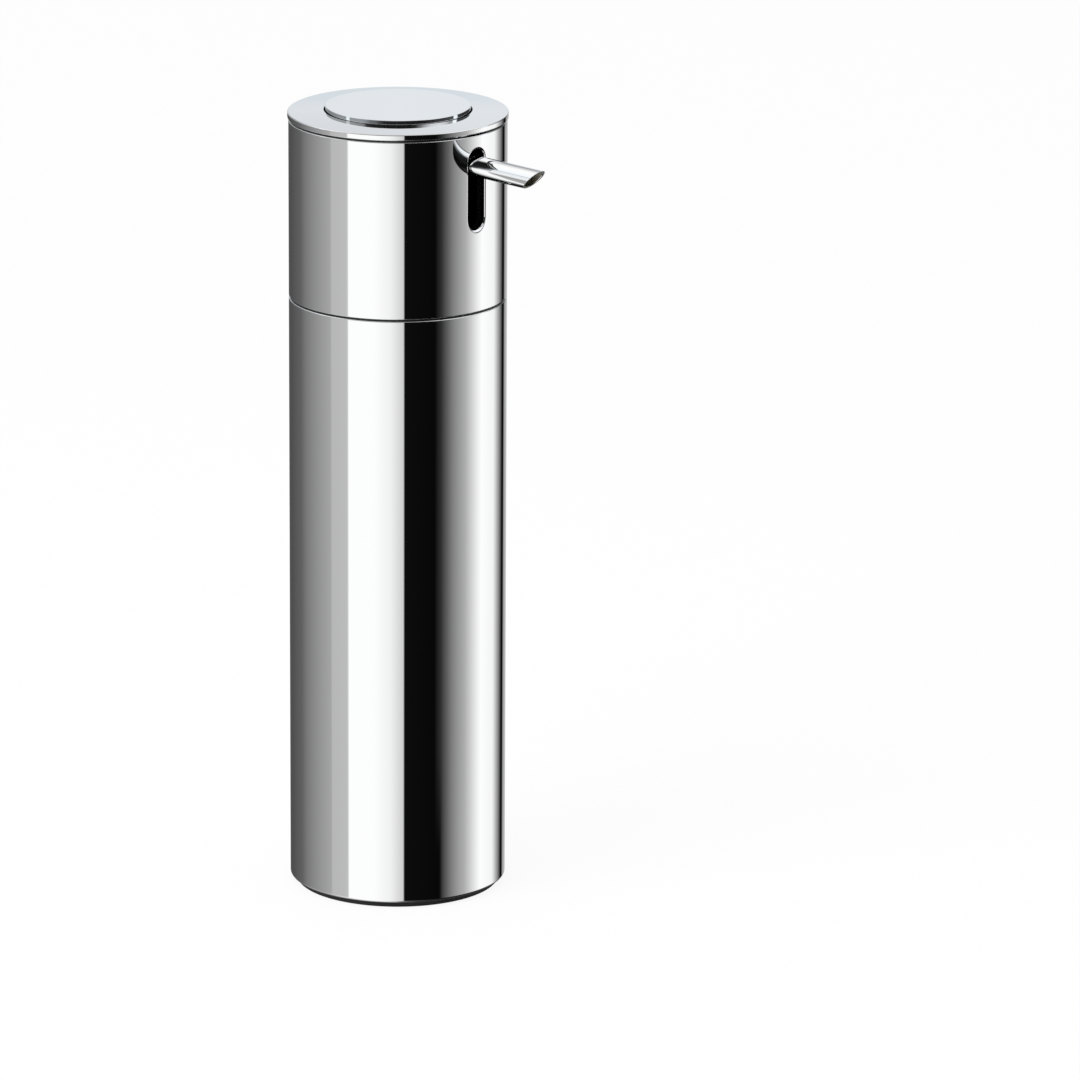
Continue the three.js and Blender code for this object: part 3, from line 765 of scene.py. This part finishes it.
# Mirrored by the button's side by way of the ring's face
BUTTON_SIDE = (
    (-180, 0.90), (-170, 0.80), (-155, 0.60), (-140, 0.48), (-125, 0.50), (-100, 0.58), (-60, 0.61),
    (-52, 0.57), (-44, 0.42), (-36, 0.40), (-28, 0.26), (-20, 0.15), (30, 0.10), (45, 0.13),
    (60, 0.20), (80, 0.25), (97, 0.30), (99, 1.00), (106, 1.00), (109, 0.18), (150, 0.17),
    (160, 0.60), (172, 0.86), (180, 0.90),
)

# The same with the bright column that lights the spout's side
BESIDE_BUTTON = sorted(BUTTON_SIDE + ((-89.5, 0.60), (-88.5, 0.98), (-83, 0.98), (-82, 0.61)))

RINGS = (
    (-70, NEUTRAL, (
        (-180, 0.45), (-100, 0.65), (-40, 0.80), (-8, 0.70), (8, 0.08), (150, 0.08), (165, 0.35),
        (180, 0.45),
    )),
    (-46, NEUTRAL, (
        (-180, 0.45), (-108, 0.60), (-92, 0.58), (-84, 0.72), (-60, 0.86), (-36, 1.00), (-20, 0.98),
        (-12, 0.90), (0, 0.72), (12, 0.50), (24, 0.36), (36, 0.25), (48, 0.14), (100, 0.10),
        (136, 0.12), (148, 0.34), (160, 0.34), (180, 0.45),
    )),
    (-24, NEUTRAL, (
        (-180, 0.33), (-130, 0.45), (-108, 0.70), (-92, 0.67), (-84, 0.80), (-72, 0.90),
        (-60, 0.95), (-54, 1.00), (-20, 1.00), (-8, 0.90), (4, 0.70), (8, 0.05), (60, 0.05),
        (84, 0.08), (120, 0.10), (146, 0.12), (154, 0.34), (170, 0.40), (180, 0.33),
    )),
    (-19, NEUTRAL, NEAR_FOOT),
    (-17.9, NEUTRAL, NEAR_FOOT),
    (-17.2, NEUTRAL, WALL),
    (-11.6, NEUTRAL, WALL),
    (-9, NEUTRAL, ABOVE_WALL),
    (-5, NEUTRAL, (
        (-180, 0.90), (-100, 0.80), (-96, 0.91), (-85, 0.90), (-60, 0.97), (-48, 0.92), (-36, 0.95),
        (-24, 0.70), (-8, 0.50), (4, 0.25), (8, 0.05), (42, 0.05), (48, 0.35), (60, 0.60),
        (84, 0.70), (100, 0.80), (120, 0.60), (140, 0.30), (144, 0.05), (151, 0.05), (156, 0.70),
        (180, 0.90),
    )),
    (0, NEUTRAL, (
        (-180, 0.90), (-100, 0.80), (-96, 0.96), (-85, 0.96), (-72, 0.88), (-48, 0.80), (-36, 0.70),
        (-24, 0.34), (-10, 0.20), (5, 0.10), (40, 0.08), (50, 0.50), (60, 0.85), (80, 0.60),
        (100, 0.50), (110, 0.40), (144, 0.10), (151, 0.20), (158, 0.80), (180, 0.90),
    )),
    (4, COOL, (
        (-180, 0.90), (-160, 0.70), (-140, 0.50), (-100, 0.62), (-89, 0.66), (-88, 1.00),
        (-82, 1.00), (-80, 0.66), (-60, 0.62), (-48, 0.48), (-36, 0.30), (-24, 0.22), (-10, 0.12),
        (40, 0.09), (60, 0.20), (96, 0.30), (110, 0.20), (150, 0.20), (160, 0.70), (172, 0.90),
        (180, 0.90),
    )),
    (6.3, SLATE, BESIDE_BUTTON),
    (7.3, SLATE, BUTTON_SIDE),
    (8.4, SLATE, BESIDE_BUTTON),
    (12.7, COOL, (
        (-180, 0.925), (-174, 0.85), (-165, 0.74), (-150, 0.52), (-110, 0.62), (-91, 0.66),
        (-90, 1.00), (-84, 1.00), (-83, 0.62), (-60, 0.55), (-52, 0.36), (-44, 0.20), (-30, 0.12),
        (30, 0.09), (45, 0.30), (60, 0.45), (80, 0.45), (97, 0.50), (99, 1.00), (106, 1.00),
        (109, 0.20), (150, 0.22), (160, 0.70), (172, 0.88), (176, 0.90), (180, 0.925),
    )),
    (18.2, COOL, (
        (-180, 0.88), (-172, 0.83), (-150, 0.68), (-130, 0.64), (-92, 0.59), (-91, 0.70),
        (-84, 0.70), (-83, 0.59), (-57, 0.52), (-52, 0.20), (-40, 0.13), (-10, 0.10), (18, 0.09),
        (28, 0.17), (36, 0.45), (44, 0.68), (54, 0.86), (70, 0.93), (82, 0.86), (92, 0.60),
        (97, 0.70), (99, 1.00), (106, 1.00), (109, 0.30), (150, 0.36), (164, 0.80), (174, 0.94),
        (180, 0.88),
    )),
    (21, COOL, (
        (-180, 0.57), (-170, 0.60), (-120, 0.80), (-105, 1.00), (-80, 1.00), (-62, 0.50),
        (-50, 0.18), (-30, 0.12), (26, 0.06), (36, 0.20), (46, 0.84), (54, 0.97), (72, 0.98),
        (100, 1.00), (150, 0.60), (180, 0.57),
    )),
    (30, COOL, (
        (-180, 0.62), (-160, 0.70), (-125, 0.95), (-105, 1.00), (-75, 1.00), (-56, 0.60),
        (-45, 0.20), (-30, 0.12), (24, 0.05), (34, 0.28), (44, 0.86), (54, 0.98), (84, 1.00),
        (120, 0.95), (160, 0.70), (180, 0.62),
    )),
    (41, NEUTRAL, (
        (-180, 0.74), (-165, 0.79), (-125, 1.00), (-75, 1.00), (-55, 0.60), (-40, 0.20),
        (-25, 0.10), (16, 0.08), (26, 0.20), (38, 0.55), (50, 0.92), (84, 1.00), (130, 1.00),
        (165, 0.80), (180, 0.74),
    )),
    (47, NEUTRAL, (
        (-180, 0.80), (-168, 0.85), (-156, 0.88), (-144, 0.94), (-132, 0.99), (-120, 1.00),
        (-75, 1.00), (-50, 0.50), (-35, 0.15), (12, 0.10), (24, 0.28), (36, 0.70), (48, 0.96),
        (84, 1.00), (140, 1.00), (180, 0.80),
    )),
    (55, NEUTRAL, ((-180, 1.00), (180, 1.00))),
    (68, NEUTRAL, ((-180, 0.78), (-120, 0.86), (-60, 0.88), (20, 0.74), (90, 0.82), (180, 0.78))),
)
PLAIN_LEVEL = 0.8  # of the light on what is not metal

FLOOR_HALF = 6
FLOOR_GREY = 0.95
FLOOR_GLOW = 0.9  # the share of plain white in what the camera sees of the floor

# The colour mix's sockets, which share their names with its other types
MIX_SHARE, MIX_FIRST, MIX_SECOND, MIX_RESULT = 0, 6, 7, 2


def ring_ramp(tree, azimuth_share, cast, levels):
    """The levels of one ring as a colour ramp that runs once round the object."""
    ramp = tree.nodes.new("ShaderNodeValToRGB")
    elements = ramp.color_ramp.elements
    while len(elements) < len(levels):
        elements.new(0.5)
    for element, (azimuth, level) in zip(elements, levels):
        element.position = azimuth / 360 + 0.5
        element.color = (*(linear(level * share) for share in cast), 1)
    tree.links.new(azimuth_share, ramp.inputs["Fac"])
    return ramp.outputs["Color"]


def studio():
    """A world that glossy rays see as the rings, the camera as white and others as a plain grey."""
    world = bpy.data.worlds.new("studio")
    bpy.context.scene.world = world
    world.use_nodes = True
    tree = world.node_tree
    link = tree.links.new

    def math_node(operation, *values):
        node = tree.nodes.new("ShaderNodeMath")
        node.operation = operation
        for socket, value in zip(node.inputs, values):
            if isinstance(value, (int, float)):
                socket.default_value = value
            else:
                link(value, socket)
        return node.outputs[0]

    def dot(vector, fixed):
        node = tree.nodes.new("ShaderNodeVectorMath")
        node.operation = "DOT_PRODUCT"
        link(vector, node.inputs[0])
        node.inputs[1].default_value = fixed
        return node.outputs["Value"]

    def mix(share, first, second):
        node = tree.nodes.new("ShaderNodeMix")
        node.data_type = "RGBA"
        for index, value in ((MIX_SHARE, share), (MIX_FIRST, first), (MIX_SECOND, second)):
            socket = node.inputs[index]
            if isinstance(value, tuple):
                socket.default_value = value
            else:
                link(value, socket)
        return node.outputs[MIX_RESULT]

    direction = tree.nodes.new("ShaderNodeTexCoord").outputs["Generated"]
    azimuth = math_node("ARCTAN2", dot(direction, TO_RIGHT), dot(direction, TO_CAMERA))
    share = math_node("ADD", math_node("DIVIDE", azimuth, 2 * math.pi), 0.5)
    height = dot(direction, UP)
    mirrored, from_elevation = None, None
    for elevation, cast, levels in RINGS:
        ring = ring_ramp(tree, share, cast, levels)
        if mirrored is not None:
            rise = tree.nodes.new("ShaderNodeMapRange")
            rise.inputs["From Min"].default_value = math.sin(math.radians(from_elevation))
            rise.inputs["From Max"].default_value = math.sin(math.radians(elevation))
            link(height, rise.inputs["Value"])
            ring = mix(rise.outputs["Result"], mirrored, ring)
        mirrored, from_elevation = ring, elevation
    path = tree.nodes.new("ShaderNodeLightPath")
    plain = (PLAIN_LEVEL, PLAIN_LEVEL, PLAIN_LEVEL, 1)
    seen = mix(path.outputs["Is Glossy Ray"], plain, mirrored)
    seen = mix(path.outputs["Is Camera Ray"], seen, (1, 1, 1, 1))
    background = tree.nodes["Background"]
    link(seen, background.inputs["Color"])


def floor():
    """A pale floor that keeps the object's shadow. The metal doesn't mirror it."""
    signs = ((-1, -1), (1, -1), (1, 1), (-1, 1))
    mesh = bpy.data.meshes.new("floor")
    mesh.from_pydata([(FLOOR_HALF * x, FLOOR_HALF * y, 0) for x, y in signs], [], [(0, 1, 2, 3)])
    made = bpy.data.objects.new("floor", mesh)
    bpy.context.scene.collection.objects.link(made)
    white, tree, shader = material("pale_floor")
    shader.inputs["Base Color"].default_value = (FLOOR_GREY, FLOOR_GREY, FLOOR_GREY, 1)
    shader.inputs["Roughness"].default_value = 1
    shader.inputs["Specular IOR Level"].default_value = 0
    glow = tree.nodes.new("ShaderNodeEmission")
    path = tree.nodes.new("ShaderNodeLightPath")
    share = tree.nodes.new("ShaderNodeMath")
    share.operation = "MULTIPLY"
    share.inputs[1].default_value = FLOOR_GLOW
    blend = tree.nodes.new("ShaderNodeMixShader")
    tree.links.new(path.outputs["Is Camera Ray"], share.inputs[0])
    tree.links.new(share.outputs[0], blend.inputs[0])
    tree.links.new(shader.outputs[0], blend.inputs[1])
    tree.links.new(glow.outputs[0], blend.inputs[2])
    tree.links.new(blend.outputs[0], tree.nodes["Material Output"].inputs["Surface"])
    mesh.materials.append(white)
    made.visible_glossy = False


def lamp(name, azimuth, height, distance, size, power):
    """A soft lamp that lights what is matt, at an azimuth counted as in the rings."""
    light = bpy.data.lights.new(name, "AREA")
    light.size = size
    light.energy = power
    made = bpy.data.objects.new(name, light)
    bpy.context.scene.collection.objects.link(made)
    angle = CAMERA_AZIMUTH + math.radians(azimuth)
    made.location = (distance * math.sin(angle), -distance * math.cos(angle), height)
    made.rotation_euler = (-made.location).to_track_quat("-Z", "Y").to_euler()
    made.visible_glossy = False


def camera():
    data = bpy.data.cameras.new("camera")
    data.lens = CAMERA_LENS
    data.sensor_width = CAMERA_SENSOR
    data.clip_end = CAMERA_FAR
    made = bpy.data.objects.new("camera", data)
    bpy.context.scene.collection.objects.link(made)
    bpy.context.scene.camera = made
    ahead = TO_RIGHT * math.sin(CAMERA_YAW) - TO_CAMERA * math.cos(CAMERA_YAW)
    level = TO_RIGHT * math.cos(CAMERA_YAW) + TO_CAMERA * math.sin(CAMERA_YAW)
    forward = ahead * math.cos(CAMERA_PITCH) - UP * math.sin(CAMERA_PITCH)
    above = ahead * math.sin(CAMERA_PITCH) + UP * math.cos(CAMERA_PITCH)
    right = level * math.cos(CAMERA_ROLL) + above * math.sin(CAMERA_ROLL)
    top = above * math.cos(CAMERA_ROLL) - level * math.sin(CAMERA_ROLL)
    place = TO_CAMERA * CAMERA_DISTANCE + UP * CAMERA_HEIGHT
    made.matrix_world = Matrix((
        (right.x, top.x, -forward.x, place.x),
        (right.y, top.y, -forward.y, place.y),
        (right.z, top.z, -forward.z, place.z),
        (0, 0, 0, 1),
    ))


bpy.context.scene.view_settings.view_transform = "Standard"
studio()
floor()
lamp("key", azimuth=-50, height=0.9, distance=1.0, size=0.8, power=8)
camera()
